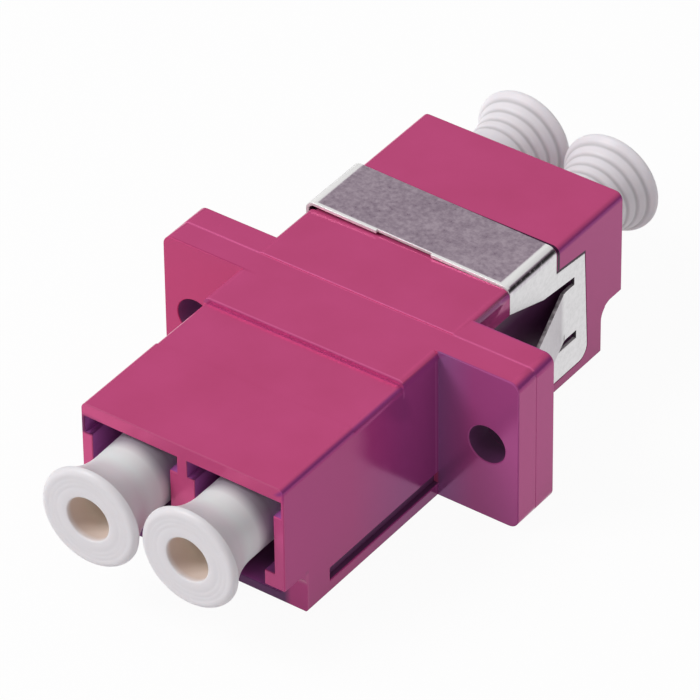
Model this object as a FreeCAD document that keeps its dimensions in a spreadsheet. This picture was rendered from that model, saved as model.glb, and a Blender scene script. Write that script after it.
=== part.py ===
import FreeCAD, Part
import math
import os

import Sketcher

# Duplex fibre coupler for two small-form connectors on each side.
# Frame: X runs across the two ports, Y = 0 is the weld plane between the two housing halves,
# the front ports open towards -Y, Z = 0 is the underside. Millimetres.

os.makedirs("parts", exist_ok=True)
document = FreeCAD.newDocument("fibreCoupler")

DRIVING_SIZES = {
    # housing halves
    "portPitch": 6.25,
    "halfLength": 14.6,
    "footChamfer": 0.15,
    "axisHeight": 5.75,
    "webThickness": 1.8,
    # flange
    "flangeWidth": 21.8,
    "flangeHeight": 9.06,
    "flangeThickness": 1.55,
    "flangeCorner": 0.55,
    "holeInset": 1.9,
    "holeHeight": 4.56,
    "holeRadius": 1.1,
    # front body: thicker mouth, lower neck behind the mould step, raised band at the flange
    "frontWidth": 12.24,
    "mouthTop": 8.87,
    "mouthLength": 5.9,
    "neckTop": 8.77,
    "bandLength": 3.0,
    "frontRound": 0.39,
    "grooveLength": 9.3,
    "grooveBottom": 0.81,
    "grooveTop": 1.57,
    "grooveDepth": 0.32,
    # rear body
    "rearWidth": 12.44,
    "rearTop": 9.12,
    "rearRound": 0.45,
    # connector ports
    "portWidth": 4.75,
    "portFloor": 3.45,
    "portCeiling": 8.05,
    "slotWidth": 5.65,
    "slotFloor": 7.05,
    "slotDepth": 2.6,
    "hookGap": 3.55,
    "latchWidth": 2.8,
    "latchFloor": 0.55,
    "latchDepth": 8.6,
    "catchWidth": 4.4,
    "catchFloor": 2.05,
    "catchStart": 4.0,
    "catchLength": 2.7,
    # nose notch under each mouth
    "noseSetback": 1.86,
    "noseRound": 0.9,
    "frontNoseHeight": 2.55,
    "rearNoseHeight": 2.95,
    # sleeve barrels
    "barrelRadius": 1.45,
    "barrelLength": 4.7,
    "barrelChamfer": 0.15,
    "ferruleRadius": 0.66,
    "sleeveLength": 6.8,
    "sleeveRadius": 0.81,
    "sleeveWall": 0.19,
    "sleeveSlit": 0.25,
    "sleevePlay": 0.03,
    # folded panel clip, lifted and standing off the plastic a little on its left side
    "clipThickness": 0.2,
    "clipWidth": 12.42,
    "clipTop": 9.25,
    "clipLift": 0.22,
    "clipStandOff": 0.16,
    "clipBottom": 0.7,
    "bendRadius": 0.5,
    "stripFront": 4.5,
    "stripRear": 8.65,
    "stripRelief": 0.15,
    "reliefLeft": 2.0,
    "reliefRight": 1.36,
    "plateFront": 1.63,
    "plateRear": 11.5,
    "plateTaper": 0.3,
    "plateDrop": 0.23,
    "plateShoulder": 7.6,
    "plateCorner": 0.75,
    "windowBottom": 2.43,
    "windowTop": 6.42,
    "windowSlantStart": 7.5,
    "windowSlantRise": 0.25,
    "tabBottom": 2.76,
    "tabTop": 6.13,
    "lowerSlotEnd": 10.47,
    "upperSlotEnd": 10.25,
    "tabBend": 9.4,
    "tabLength": 5.4,
    "tabAngle": 19.0,
    "tabBendRadius": 1.2,
    "clipGap": 0.03,
    "tabPocketDepth": 0.3,
    # dust caps
    "capLength": 15.9,
    "capNeckRadius": 2.0,
    "capFlareRadius": 2.85,
    "frontFlareLength": 2.9,
    "rearFlareLength": 2.4,
    "frontCapLand": 0.5,
    "rearCapLand": 0.3,
    "capRimChamfer": 0.12,
    "capHoleRadius": 1.25,
    "capHoleDepth": 5.5,
    "capBoreDepth": 6.0,
    "capPlay": 0.17,
    "capNose": 0.25,
    "ringStep": 0.07,
    # how far cutting outlines run past the material
    "overrun": 1.0,
}

# How far each cap's end face stands from the weld plane, and how far the cap leans inwards.
CAP_SEATS = {
    "dust_cap_front_left": {"side": -1, "towards": -1, "face": 18.7, "lean": 1.55},
    "dust_cap_front_right": {"side": 1, "towards": -1, "face": 18.4, "lean": 0.05},
    "dust_cap_rear_left": {"side": -1, "towards": 1, "face": 19.6, "lean": -0.25},
    "dust_cap_rear_right": {"side": 1, "towards": 1, "face": 19.0, "lean": 1.6},
}
BAND_COUNT = 5


def size_sheet():
    """Table of the driving sizes, and of the two sizes that seat each cap."""
    sheet = document.addObject("Spreadsheet::Sheet", "Sizes")
    values = dict(DRIVING_SIZES)
    for node, seat in CAP_SEATS.items():
        values[seat_alias(node, "Face")] = seat["face"]
        values[seat_alias(node, "Lean")] = seat["lean"]
    for row, (alias, value) in enumerate(values.items(), start=1):
        sheet.set(f"A{row}", alias)
        sheet.set(f"B{row}", str(value))
        sheet.setAlias(f"B{row}", alias)
    document.recompute()
    return sheet


def seat_alias(node, what):
    words = node.split("_")[2:]
    return "cap" + "".join(word.capitalize() for word in words) + what


sheet = size_sheet()


def tied(expression):
    """An expression in which <size> stands for a cell of the table, ready to bind."""
    for alias in sorted(sheet_aliases, key=len, reverse=True):
        expression = expression.replace(f"<{alias}>", f"Sizes.{alias}")
    return expression


sheet_aliases = list(DRIVING_SIZES)
for cap_node in CAP_SEATS:
    sheet_aliases += [seat_alias(cap_node, "Face"), seat_alias(cap_node, "Lean")]


def value_of(expression):
    return float(sheet.evalExpression(tied(expression)))


def new_body(node):
    body = document.addObject("PartDesign::Body", node)
    body.Label = node
    return body


def origin_plane(body, role):
    return [feature for feature in body.Origin.OriginFeatures if feature.Role == role][0]


def new_sketch(body, name, role, offset="0"):
    """Outline plane of a body, moved along its normal by an offset."""
    sketch = body.newObject("Sketcher::SketchObject", name)
    sketch.AttachmentSupport = [(origin_plane(body, role), "")]
    sketch.MapMode = "FlatFace"
    if offset != "0":
        sketch.setExpression("AttachmentOffset.Base.z", tied(offset))
    return sketch


def drive(sketch, kind, name, geometry, point, expression):
    """Hold one coordinate of an outline's point to an expression of driving sizes."""
    number = sketch.addConstraint(
        Sketcher.Constraint(kind, -1, 1, geometry, point, value_of(expression))
    )
    sketch.renameConstraint(number, name)
    sketch.setExpression(f"Constraints.{name}", tied(expression))


def add_outline(sketch, vertices):
    """Closed outline of straight lines and arcs.

    A vertex is (x, y), or (x, y, radius, turn) where the edge to the next vertex is an arc whose
    centre lies to the left (turn 1) or to the right (turn -1) of the way along the outline.
    """
    first = sketch.GeometryCount
    count = len(vertices)
    places = [FreeCAD.Vector(value_of(v[0]), value_of(v[1]), 0) for v in vertices]
    ends = []
    for index, vertex in enumerate(vertices):
        start = places[index]
        end = places[(index + 1) % count]
        if len(vertex) == 2:
            sketch.addGeometry(Part.LineSegment(start, end), False)
            ends.append((1, 2))
            continue
        radius = value_of(vertex[2])
        turn = vertex[3]
        middle = (start + end) / 2
        along = (end - start).normalize()
        left = FreeCAD.Vector(-along.y, along.x, 0)
        half_chord = (end - start).Length / 2
        centre = middle + left * turn * math.sqrt(max(radius**2 - half_chord**2, 0))
        low, high = (start, end) if turn > 0 else (end, start)
        angles = [math.atan2(p.y - centre.y, p.x - centre.x) for p in (low, high)]
        if angles[1] < angles[0]:
            angles[1] += 2 * math.pi
        circle = Part.Circle(centre, FreeCAD.Vector(0, 0, 1), radius)
        sketch.addGeometry(Part.ArcOfCircle(circle, *angles), False)
        ends.append((1, 2) if turn > 0 else (2, 1))
    for index in range(count):
        following = (index + 1) % count
        sketch.addConstraint(
            Sketcher.Constraint(
                "Coincident",
                first + index,
                ends[index][1],
                first + following,
                ends[following][0],
            )
        )
    for index, vertex in enumerate(vertices):
        label = f"{first + index}"
        drive(sketch, "DistanceX", "x" + label, first + index, ends[index][0], vertex[0])
        drive(sketch, "DistanceY", "y" + label, first + index, ends[index][0], vertex[1])
        if len(vertex) > 2:
            number = sketch.addConstraint(
                Sketcher.Constraint("Radius", first + index, value_of(vertex[2]))
            )
            sketch.renameConstraint(number, "r" + label)
            sketch.setExpression(f"Constraints.r{label}", tied(vertex[2]))


def add_circle(sketch, x, y, radius):
    number = sketch.addGeometry(
        Part.Circle(
            FreeCAD.Vector(value_of(x), value_of(y), 0),
            FreeCAD.Vector(0, 0, 1),
            value_of(radius),
        ),
        False,
    )
    drive(sketch, "DistanceX", f"x{number}", number, 3, x)
    drive(sketch, "DistanceY", f"y{number}", number, 3, y)
    held = sketch.addConstraint(Sketcher.Constraint("Radius", number, value_of(radius)))
    sketch.renameConstraint(held, f"r{number}")
    sketch.setExpression(f"Constraints.r{number}", tied(radius))


def rectangle(left, low, right, high):
    return [(left, low), (right, low), (right, high), (left, high)]


def mirrored(vertices, shift=""):
    """The same outline on the other side of the upright axis, moved outwards by a stand-off."""
    return [
        (f"-({v[0]}){shift}", v[1]) if len(v) == 2 else (f"-({v[0]}){shift}", v[1], v[2], -v[3])
        for v in vertices
    ]


def pad(body, sketch, name, length, backwards=False):
    feature = body.newObject("PartDesign::Pad", name)
    feature.Profile = sketch
    feature.setExpression("Length", tied(length))
    feature.Reversed = backwards
    settle(body, name, grows=True)
    return feature


def pocket(body, sketch, name, length=None, backwards=False, both_ways=False):
    feature = body.newObject("PartDesign::Pocket", name)
    feature.Profile = sketch
    if length is None:
        feature.Type = "ThroughAll"
    else:
        feature.setExpression("Length", tied(length))
    if both_ways:
        feature.SideType = "Symmetric"
    feature.Reversed = backwards
    settle(body, name, grows=False)
    return feature


def turned(body, sketch, name, kind="Revolution"):
    feature = body.newObject("PartDesign::" + kind, name)
    feature.Profile = sketch
    feature.ReferenceAxis = (sketch, ["V_Axis"])
    feature.Angle = 360
    settle(body, name, grows=kind == "Revolution")
    return feature


volumes = {}


def settle(body, name, grows):
    """Recompute, and stop if the new feature changed nothing."""
    document.recompute()
    before = volumes.get(body.Name, 0.0)
    after = body.Shape.Volume
    if (after <= before) if grows else (after >= before):
        raise RuntimeError(f"{body.Name}: {name} changed {before:.3f} to {after:.3f} mm3")
    volumes[body.Name] = after


def rounded_block(width, top, radius):
    """Section of a housing half: upper edges rounded, lower edges chamfered."""
    half = f"{width} / 2"
    return [
        (f"-{half} + <footChamfer>", "0"),
        (f"{half} - <footChamfer>", "0"),
        (half, "<footChamfer>"),
        (half, f"{top} - {radius}", radius, 1),
        (f"{half} - {radius}", top),
        (f"-{half} + {radius}", top, radius, 1),
        (f"-{half}", f"{top} - {radius}"),
        (f"-{half}", "<footChamfer>"),
    ]


def rounded_plate(width, height, radius):
    """Section of the flange: a plate with four rounded corners."""
    half = f"{width} / 2"
    return [
        (f"-{half} + {radius}", "0"),
        (f"{half} - {radius}", "0", radius, 1),
        (half, radius),
        (half, f"{height} - {radius}", radius, 1),
        (f"{half} - {radius}", height),
        (f"-{half} + {radius}", height, radius, 1),
        (f"-{half}", f"{height} - {radius}"),
        (f"-{half}", radius, radius, 1),
    ]


def cut_ports(body, rear):
    """Both connector ports of one half, cut from the mouth towards the weld plane."""
    mouth = "-<halfLength>" if rear else "<halfLength>"
    centre = "<portPitch> / 2"

    def cut(name, width, low, high, depth, start="0"):
        sketch = new_sketch(body, name + "Outline", "XZ_Plane", mouth_offset(start))
        outline = rectangle(
            f"{centre} - {width} / 2", low, f"{centre} + {width} / 2", high
        )
        add_outline(sketch, outline)
        add_outline(sketch, mirrored(outline))
        pocket(body, sketch, name, depth, backwards=rear)

    def mouth_offset(start):
        return mouth if start == "0" else f"{mouth} {'+' if rear else '-'} {start}"

    cut("Port", "<portWidth>", "<portFloor>", "<portCeiling>", "<halfLength> - <webThickness>")
    cut("WideSlot", "<slotWidth>", "<slotFloor>", "<portCeiling>", "<slotDepth>")
    cut("HookGap", "<hookGap>", "<latchFloor>", "<portFloor>", "<noseSetback>")
    cut("LatchChannel", "<latchWidth>", "<latchFloor>", "<portFloor>", "<latchDepth>")
    cut("LatchCatch", "<catchWidth>", "<catchFloor>", "<portFloor>", "<catchLength>", "<catchStart>")


def cut_nose(body, rear, height):
    """Notch under the mouth, with a concave root, right across the housing."""
    root = "<halfLength> - <noseSetback>"
    outline = [
        ("<halfLength> + <overrun>", height),
        (f"{root} + <noseRound>", height, "<noseRound>", 1),
        (root, f"{height} - <noseRound>"),
        (root, "-<overrun>"),
        ("<halfLength> + <overrun>", "-<overrun>"),
    ]
    sketch = new_sketch(body, "NoseOutline", "YZ_Plane")
    add_outline(sketch, outline if rear else mirrored(outline))
    pocket(body, sketch, "Nose", both_ways=True)


def add_barrels(body, rear):
    """Two barrels on the web that hold the split sleeves and guide the ferrules."""
    barrels = new_sketch(body, "BarrelOutline", "XZ_Plane")
    seats = new_sketch(body, "SleeveSeatOutline", "XZ_Plane")
    ferrules = new_sketch(body, "FerruleOutline", "XZ_Plane")
    for sign in ("", "-"):
        x = f"{sign}<portPitch> / 2"
        add_circle(barrels, x, "<axisHeight>", "<barrelRadius>")
        add_circle(seats, x, "<axisHeight>", "<sleeveRadius> + <sleevePlay>")
        add_circle(ferrules, x, "<axisHeight>", "<ferruleRadius>")
    pad(body, barrels, "Barrels", "<barrelLength>", backwards=rear)
    pocket(
        body, seats, "SleeveSeats", "<sleeveLength> / 2 + <sleevePlay>", backwards=not rear
    )
    pocket(body, ferrules, "FerruleHoles", backwards=not rear)
    chamfer_barrels(body, rear)


def chamfer_barrels(body, rear):
    """Lead-in on the outer edge of both barrel ends."""
    tip = value_of("<barrelLength>") * (1 if rear else -1)
    radius = value_of("<barrelRadius>")
    base = body.Tip
    edges = [
        f"Edge{number}"
        for number, edge in enumerate(base.Shape.Edges, start=1)
        if isinstance(edge.Curve, Part.Circle)
        and abs(edge.Curve.Radius - radius) < 1e-6
        and abs(edge.Curve.Center.y - tip) < 1e-6
    ]
    chamfer = body.newObject("PartDesign::Chamfer", "BarrelLeadIn")
    chamfer.Base = (base, edges)
    chamfer.setExpression("Size", tied("<barrelChamfer>"))
    settle(body, "BarrelLeadIn", grows=False)


def add_flange(body, rear):
    """Half of the mounting flange, on the weld plane side."""
    sketch = new_sketch(body, "FlangeOutline", "XZ_Plane")
    add_outline(sketch, rounded_plate("<flangeWidth>", "<flangeHeight>", "<flangeCorner>"))
    pad(body, sketch, "Flange", "<flangeThickness>", backwards=rear)


def cut_flange_holes(body, rear):
    sketch = new_sketch(body, "FlangeHoleOutline", "XZ_Plane")
    for sign in ("", "-"):
        add_circle(sketch, f"{sign}(<flangeWidth> / 2 - <holeInset>)", "<holeHeight>", "<holeRadius>")
    pocket(body, sketch, "FlangeHoles", backwards=not rear)


def front_housing():
    body = new_body("front_housing")
    block = new_sketch(body, "NeckOutline", "XZ_Plane")
    add_outline(block, rounded_block("<frontWidth>", "<neckTop>", "<frontRound>"))
    pad(body, block, "Neck", "<halfLength>")
    mouth = new_sketch(body, "MouthOutline", "XZ_Plane", "<halfLength>")
    add_outline(mouth, rounded_block("<frontWidth>", "<mouthTop>", "<frontRound>"))
    pad(body, mouth, "Mouth", "<mouthLength>", backwards=True)
    band = new_sketch(body, "BandOutline", "XZ_Plane")
    add_outline(band, rounded_block("<frontWidth>", "<flangeHeight>", "<frontRound>"))
    pad(body, band, "Band", "<flangeThickness> + <bandLength>")
    add_flange(body, rear=False)
    cut_ports(body, rear=False)
    cut_nose(body, rear=False, height="<frontNoseHeight>")
    cut_side_grooves(body)
    cut_flange_holes(body, rear=False)
    add_barrels(body, rear=False)
    return body


def cut_side_grooves(body):
    """Long groove low on each side of the front body, with a lip left below it."""
    sketch = new_sketch(body, "SideGrooveOutline", "XZ_Plane", "<flangeThickness>")
    outline = rectangle(
        "<frontWidth> / 2 - <grooveDepth>",
        "<grooveBottom>",
        "<frontWidth> / 2 + <overrun>",
        "<grooveTop>",
    )
    add_outline(sketch, outline)
    add_outline(sketch, mirrored(outline))
    pocket(body, sketch, "SideGrooves", "<grooveLength>", backwards=True)


def rear_housing():
    body = new_body("rear_housing")
    block = new_sketch(body, "BlockOutline", "XZ_Plane")
    add_outline(block, rounded_block("<rearWidth>", "<rearTop>", "<rearRound>"))
    pad(body, block, "Block", "<halfLength>", backwards=True)
    add_flange(body, rear=True)
    cut_ports(body, rear=True)
    cut_nose(body, rear=True, height="<rearNoseHeight>")
    cut_clip_seat(body)
    cut_flange_holes(body, rear=True)
    add_barrels(body, rear=True)
    return body


# The clip's inner faces, and the plastic one gap inside them.
PLATE_INNER = "(<clipWidth> / 2 - <clipThickness>)"
SEAT_SIDE = f"({PLATE_INNER} - <clipGap>)"
SEAT_TOP = "(<clipTop> - <clipThickness> - <clipGap>)"
SEAT_ROUND = "(<bendRadius> - <clipThickness>)"
# The strap sits a little proud on the left, where the plate also stands off the plastic.
CLIP_LEFT = "(-<clipWidth> / 2 - <clipStandOff>)"


def cut_clip_seat(body):
    """Trench over the top, shallow side recesses and deeper pockets behind the tabs."""
    outside = "<clipWidth> / 2 + <overrun>"
    above = "<clipTop> + <overrun>"
    low = "<clipBottom> - <clipGap>"
    trench = new_sketch(body, "TrenchOutline", "XZ_Plane", "-(<stripFront> - <clipGap>)")
    add_outline(
        trench,
        [
            (outside, low),
            (outside, above),
            (f"-({outside})", above),
            (f"-({outside})", low),
            (f"-{SEAT_SIDE}", low),
            (f"-{SEAT_SIDE}", f"{SEAT_TOP} - {SEAT_ROUND}", SEAT_ROUND, -1),
            (f"-{SEAT_SIDE} + {SEAT_ROUND}", SEAT_TOP),
            (f"{SEAT_SIDE} - {SEAT_ROUND}", SEAT_TOP, SEAT_ROUND, -1),
            (SEAT_SIDE, f"{SEAT_TOP} - {SEAT_ROUND}"),
            (SEAT_SIDE, low),
        ],
    )
    pocket(body, trench, "Trench", "<stripRear> - <stripFront> + 2 * <clipGap>")
    for side, sign, outwards in (("Right", "", True), ("Left", "-", False)):
        recess = new_sketch(body, f"PlateRecess{side}Outline", "YZ_Plane", f"{sign}{SEAT_SIDE}")
        add_outline(recess, plate_outline("<clipGap>"))
        pocket(body, recess, f"PlateRecess{side}", backwards=outwards)
        floor = f"{sign}({SEAT_SIDE} - <tabPocketDepth>)"
        hollow = new_sketch(body, f"TabPocket{side}Outline", "YZ_Plane", floor)
        add_outline(
            hollow,
            [
                ("<flangeThickness>", "<windowBottom>"),
                ("<upperSlotEnd>", "<windowBottom>"),
                ("<upperSlotEnd>", "<windowTop>"),
                ("<windowSlantStart>", "<windowTop> + <windowSlantRise>"),
                ("<stripFront>", "<plateShoulder>"),
                ("<flangeThickness>", "<plateShoulder>"),
            ],
        )
        pocket(body, hollow, f"TabPocket{side}", backwards=outwards)


def plate_outline(gap):
    """Side plate seen from the side, below its shoulder, grown by a gap."""
    return [
        (f"<plateFront> - {gap}", f"<clipBottom> - {gap}"),
        (f"<plateRear> - <plateCorner>", f"<clipBottom> - {gap}", f"<plateCorner> + {gap}", 1),
        (f"<plateRear> + {gap}", "<clipBottom> + <plateCorner>"),
        (f"<plateRear> - <plateTaper> + {gap}", f"<plateShoulder> - <plateDrop> + {gap}"),
        ("<stripRear>", f"<plateShoulder> + {gap}"),
        (f"<plateFront> - {gap}", f"<plateShoulder> + {gap}"),
    ]


def panel_clip():
    """Sheet metal strap folded over the rear body, with a window and a sprung tab each side."""
    body = new_body("panel_clip")
    half = "<clipWidth> / 2"
    inner_round = "<bendRadius> - <clipThickness>"
    fold = new_sketch(body, "FoldOutline", "XZ_Plane", "-<plateFront>")
    inside_top = "<clipTop> - <clipThickness>"
    left = CLIP_LEFT
    left_top = "(<clipTop> + <clipLift>)"
    add_outline(
        fold,
        [
            (half, "<clipBottom>"),
            (half, "<clipTop> - <bendRadius>", "<bendRadius>", 1),
            (f"{half} - <bendRadius>", "<clipTop>"),
            (f"{left} + <bendRadius>", left_top, "<bendRadius>", 1),
            (left, f"{left_top} - <bendRadius>"),
            (left, "<clipBottom>"),
            (f"{left} + <clipThickness>", "<clipBottom>"),
            (f"{left} + <clipThickness>", f"{left_top} - <bendRadius>", inner_round, -1),
            (f"{left} + <bendRadius>", f"{left_top} - <clipThickness>"),
            (f"{half} - <bendRadius>", inside_top, inner_round, -1),
            (PLATE_INNER, "<clipTop> - <bendRadius>"),
            (PLATE_INNER, "<clipBottom>"),
        ],
    )
    pad(body, fold, "Fold", "<plateRear> - <plateFront>", backwards=True)
    trim_clip(body)
    cut_windows(body)
    add_tabs(body)
    return body


def trim_clip(body):
    """Cut the sheet to the strap's width above the shoulders, and trim the plates' rear edge."""
    above = "<clipTop> + <overrun>"
    beyond = "<plateRear> + <overrun>"
    trim = new_sketch(body, "TrimOutline", "YZ_Plane")
    add_outline(
        trim,
        rectangle("<plateFront> - <overrun>", "<plateShoulder>", "<stripFront>", above),
    )
    add_outline(
        trim,
        [
            ("<plateRear> - <plateCorner>", "<clipBottom> - <overrun>"),
            (beyond, "<clipBottom> - <overrun>"),
            (beyond, above),
            ("<stripRear>", above),
            ("<stripRear>", "<plateShoulder>"),
            ("<plateRear> - <plateTaper>", "<plateShoulder> - <plateDrop>"),
            ("<plateRear>", "<clipBottom> + <plateCorner>", "<plateCorner>", -1),
            ("<plateRear> - <plateCorner>", "<clipBottom>"),
        ],
    )
    pocket(body, trim, "Trim", both_ways=True)
    relief = new_sketch(body, "ReliefOutline", "XY_Plane", above)
    add_outline(
        relief,
        rectangle(
            "-<reliefLeft>",
            "<stripFront> - <overrun>",
            "<reliefRight>",
            "<stripFront> + <stripRelief>",
        ),
    )
    pocket(body, relief, "Relief", "<bendRadius> + <overrun>")


# Where the bend of a tab starts, one tangent length behind the point its two flats aim at.
TAB_TANGENT = "(<tabBendRadius> * tan(<tabAngle> * 0.5 deg))"
TAB_ROOT = f"(<tabBend> + {TAB_TANGENT})"


def cut_windows(body):
    """Window round the tab in both plates, open to the front, with two relief slots."""
    window = new_sketch(body, "WindowOutline", "YZ_Plane")
    add_outline(
        window,
        [
            ("<plateFront> - <overrun>", "<windowBottom>"),
            ("<lowerSlotEnd>", "<windowBottom>"),
            ("<lowerSlotEnd>", "<tabBottom>"),
            (TAB_ROOT, "<tabBottom>"),
            (TAB_ROOT, "<tabTop>"),
            ("<upperSlotEnd>", "<tabTop>"),
            ("<upperSlotEnd>", "<windowTop>"),
            ("<windowSlantStart>", "<windowTop> + <windowSlantRise>"),
            ("<stripFront>", "<plateShoulder>"),
            ("<plateFront> - <overrun>", "<plateShoulder>"),
        ],
    )
    pocket(body, window, "Window", both_ways=True)


def add_tabs(body):
    """Tabs that bend out of both plates and flare towards the flange."""
    half = "<clipWidth> / 2"
    centre = f"({half} + <tabBendRadius>)"
    sine = "sin(<tabAngle> * 1 deg)"
    cosine = "cos(<tabAngle> * 1 deg)"
    inner_bend = "(<tabBendRadius> + <clipThickness>)"
    flat = f"(<tabLength> - {TAB_TANGENT})"
    outline = [
        (PLATE_INNER, f"{TAB_ROOT} + <clipThickness>"),
        (half, f"{TAB_ROOT} + <clipThickness>"),
        (half, TAB_ROOT, "<tabBendRadius>", 1),
        (
            f"{centre} - <tabBendRadius> * {cosine}",
            f"{TAB_ROOT} - <tabBendRadius> * {sine}",
        ),
        (
            f"{centre} - <tabBendRadius> * {cosine} + {flat} * {sine}",
            f"{TAB_ROOT} - <tabBendRadius> * {sine} - {flat} * {cosine}",
        ),
        (
            f"{centre} - {inner_bend} * {cosine} + {flat} * {sine}",
            f"{TAB_ROOT} - {inner_bend} * {sine} - {flat} * {cosine}",
        ),
        (
            f"{centre} - {inner_bend} * {cosine}",
            f"{TAB_ROOT} - {inner_bend} * {sine}",
            inner_bend,
            -1,
        ),
        (PLATE_INNER, TAB_ROOT),
    ]
    tabs = new_sketch(body, "TabOutline", "XY_Plane", "<tabBottom>")
    add_outline(tabs, outline)
    add_outline(tabs, mirrored(outline, " - <clipStandOff>"))
    pad(body, tabs, "Tabs", "<tabTop> - <tabBottom>")


def split_sleeve(node, sign):
    """Slit ceramic tube that lines up the two ferrules of one channel."""
    body = new_body(node)
    ring = new_sketch(body, "RingOutline", "XZ_Plane", "-<sleeveLength> / 2")
    add_circle(ring, "0", "0", "<sleeveRadius>")
    add_circle(ring, "0", "0", "<sleeveRadius> - <sleeveWall>")
    pad(body, ring, "Ring", "<sleeveLength>")
    slit = new_sketch(body, "SlitOutline", "XZ_Plane", "-<sleeveLength> / 2")
    add_outline(
        slit,
        rectangle("-<sleeveSlit> / 2", "0", "<sleeveSlit> / 2", "<sleeveRadius> + <overrun>"),
    )
    pocket(body, slit, "Slit", "<sleeveLength>", backwards=True)
    body.setExpression("Placement.Base.x", tied(f"{sign}<portPitch> / 2"))
    body.setExpression("Placement.Base.z", tied("<axisHeight>"))
    document.recompute()
    return body


def dust_cap(node, seat):
    """Soft plug: bore over the barrel, trumpet flare to pull on, blind hole in the end face."""
    body = new_body(node)
    bore = "<barrelRadius> + <capPlay>"
    if seat["towards"] > 0:
        land = "<rearCapLand>"
        flare = banded_flare("<rearFlareLength>", land)
    else:
        land = "<frontCapLand>"
        flare = smooth_flare("<frontFlareLength>", land)
    profile = new_sketch(body, "CapProfile", "XY_Plane")
    add_outline(
        profile,
        [
            ("0", "<capBoreDepth>"),
            (bore, "<capBoreDepth>"),
            (bore, "0"),
            ("<capNeckRadius> - <capNose> / 2", "0"),
            ("<capNeckRadius>", "<capNose>"),
            *flare,
            ("<capFlareRadius>", f"<capLength> - {land}"),
            ("<capFlareRadius>", "<capLength> - <capRimChamfer>"),
            ("<capFlareRadius> - <capRimChamfer>", "<capLength>"),
            ("<capHoleRadius>", "<capLength>"),
            ("<capHoleRadius>", "<capLength> - <capHoleDepth>"),
            ("0", "<capLength> - <capHoleDepth>"),
        ],
    )
    turned(body, profile, "Cap")
    place_cap(body, node, seat)
    return body


def flare_bend(length, land):
    """Length and radius of the arc that widens a cap from its neck to the land at its rim."""
    reach = f"({length} - {land})"
    rise = "(<capFlareRadius> - <capNeckRadius>)"
    return reach, f"(({reach}^2 + {rise}^2) / (2 * {rise}))"


def smooth_flare(length, land):
    """Trumpet of a front cap: one arc from the neck."""
    return [("<capNeckRadius>", f"<capLength> - {length}", flare_bend(length, land)[1], -1)]


def banded_flare(length, land):
    """Trumpet of a rear cap: bands that follow the arc, each stepped out from the one before."""
    reach, bend = flare_bend(length, land)
    start = f"(<capLength> - {length})"
    sweep = f"asin({reach} / {bend})"
    vertices = [("<capNeckRadius>", start)]
    for number in range(1, BAND_COUNT):
        angle = f"({sweep} * {number} / {BAND_COUNT})"
        radius = f"<capNeckRadius> + {bend} * (1 - cos({angle}))"
        along = f"{start} + {bend} * sin({angle})"
        vertices += [(f"{radius} - <ringStep>", along), (radius, along)]
    return vertices


def place_cap(body, node, seat):
    """Seat the cap on its barrel and lean it towards its neighbour."""
    side, towards = seat["side"], seat["towards"]
    lean = f"<{seat_alias(node, 'Lean')}>"
    face = f"<{seat_alias(node, 'Face')}>"
    inner_end = f"({face} - <capLength>)"
    turn = f"{side * towards} * {lean} + {90 * (1 - towards)}"
    body.setExpression("Placement.Base.x", tied(f"{side} * <portPitch> / 2"))
    body.setExpression("Placement.Base.y", tied(f"{towards} * {inner_end}"))
    body.setExpression("Placement.Base.z", tied("<axisHeight>"))
    body.setExpression("Placement.Rotation.Angle", tied(turn))
    document.recompute()


def check(parts):
    """Stop if anything in the document failed, or a part has no sound shape."""
    for thing in document.Objects:
        if {"Invalid", "Error"} & set(thing.State):
            raise RuntimeError(f"{thing.Name}: {thing.State}")
    for part in parts:
        if part.Shape.isNull() or not part.Shape.isValid() or len(part.Shape.Solids) != 1:
            raise RuntimeError(f"{part.Label} has no sound solid")


parts = [
    front_housing(),
    rear_housing(),
    panel_clip(),
    split_sleeve("split_sleeve_left", "-"),
    split_sleeve("split_sleeve_right", ""),
]
parts += [dust_cap(node, seat) for node, seat in CAP_SEATS.items()]

document.recompute()
check(parts)
for part in parts:
    part.Shape.exportStep(f"parts/{part.Label}.step")
    print(f"{part.Label}: {part.Shape.Volume:.2f} mm3")
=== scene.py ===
import bpy
import math
from mathutils import Matrix, Vector


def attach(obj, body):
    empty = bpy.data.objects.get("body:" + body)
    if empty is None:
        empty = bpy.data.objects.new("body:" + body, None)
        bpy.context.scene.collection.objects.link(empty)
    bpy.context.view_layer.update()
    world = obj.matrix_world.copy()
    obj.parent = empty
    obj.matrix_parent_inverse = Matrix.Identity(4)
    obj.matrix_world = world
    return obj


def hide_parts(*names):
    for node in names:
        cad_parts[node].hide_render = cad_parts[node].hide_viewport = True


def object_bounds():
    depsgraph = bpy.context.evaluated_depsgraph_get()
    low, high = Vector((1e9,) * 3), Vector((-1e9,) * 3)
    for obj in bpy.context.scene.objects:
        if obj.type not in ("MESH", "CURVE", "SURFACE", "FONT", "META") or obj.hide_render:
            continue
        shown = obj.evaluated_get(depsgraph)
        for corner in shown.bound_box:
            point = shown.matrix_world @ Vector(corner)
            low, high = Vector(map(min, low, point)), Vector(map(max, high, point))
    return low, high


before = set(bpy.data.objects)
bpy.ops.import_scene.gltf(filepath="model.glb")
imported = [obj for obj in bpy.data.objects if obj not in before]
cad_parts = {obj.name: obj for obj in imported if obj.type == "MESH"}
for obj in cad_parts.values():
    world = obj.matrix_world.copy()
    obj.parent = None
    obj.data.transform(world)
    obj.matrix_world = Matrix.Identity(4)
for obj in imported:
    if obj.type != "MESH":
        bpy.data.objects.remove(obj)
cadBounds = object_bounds()
mm = 0.001
grainHeight = 0.02 * mm


def startClean():
    if bpy.context.object and bpy.context.object.mode != "OBJECT":
        bpy.ops.object.mode_set(mode="OBJECT")
    bpy.ops.object.select_all(action="DESELECT")


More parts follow.
